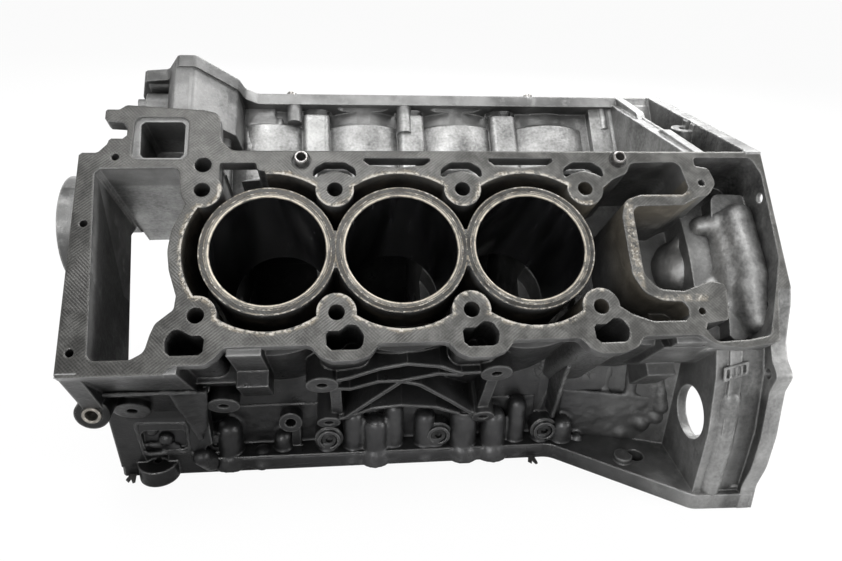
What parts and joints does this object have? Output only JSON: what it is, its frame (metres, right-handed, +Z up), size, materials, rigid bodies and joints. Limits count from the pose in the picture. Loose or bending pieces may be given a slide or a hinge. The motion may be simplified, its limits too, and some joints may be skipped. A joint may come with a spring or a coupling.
{
  "type": "engine block",
  "caption": "Bare open-deck aluminium vee engine block with cast-in liners, deep chain case, mounting ribs and a flared bell housing.",
  "frame": {"origin": "middle of the overall box, on the plane of the sump rail's underside", "axes": "X runs along the crank to the rear, Z is up, Y is across the engine; the bank with the starter hole is on the minus Y side"},
  "size_m": [0.552, 0.4508, 0.3228],
  "materials": {
    "cast_aluminium": "sand-rough die casting, grey and grimy, machined deck",
    "liner_iron": "honed bore, dark with old oil",
    "dowel_steel": "turned steel, dull",
    "bolt_steel": "black steel, worn",
    "bush_steel": "turned steel, dull",
    "cap_iron": "cast iron, oily",
    "gasket_scrap": "torn black gasket"
  },
  "bodies": {
    "root": {"cylinder_block": "cast_aluminium", "near_liner_1": "liner_iron", "near_liner_2": "liner_iron", "near_liner_3": "liner_iron", "near_deck_dowel_front": "dowel_steel", "near_deck_dowel_rear": "dowel_steel", "near_cross_bolts": "bolt_steel", "near_lug_bush": "bush_steel", "far_liner_1": "liner_iron", "far_liner_2": "liner_iron", "far_liner_3": "liner_iron", "far_deck_dowel_front": "dowel_steel", "far_deck_dowel_rear": "dowel_steel", "far_cross_bolts": "bolt_steel", "far_lug_bush": "bush_steel", "main_cap_1": "cap_iron", "main_bolts_1": "bolt_steel", "main_cap_2": "cap_iron", "main_bolts_2": "bolt_steel", "main_cap_3": "cap_iron", "main_bolts_3": "bolt_steel", "main_cap_4": "cap_iron", "main_bolts_4": "bolt_steel", "sump_gasket_tab_front": "gasket_scrap", "sump_gasket_tab_mid": "gasket_scrap"}
  },
  "joints": []
}
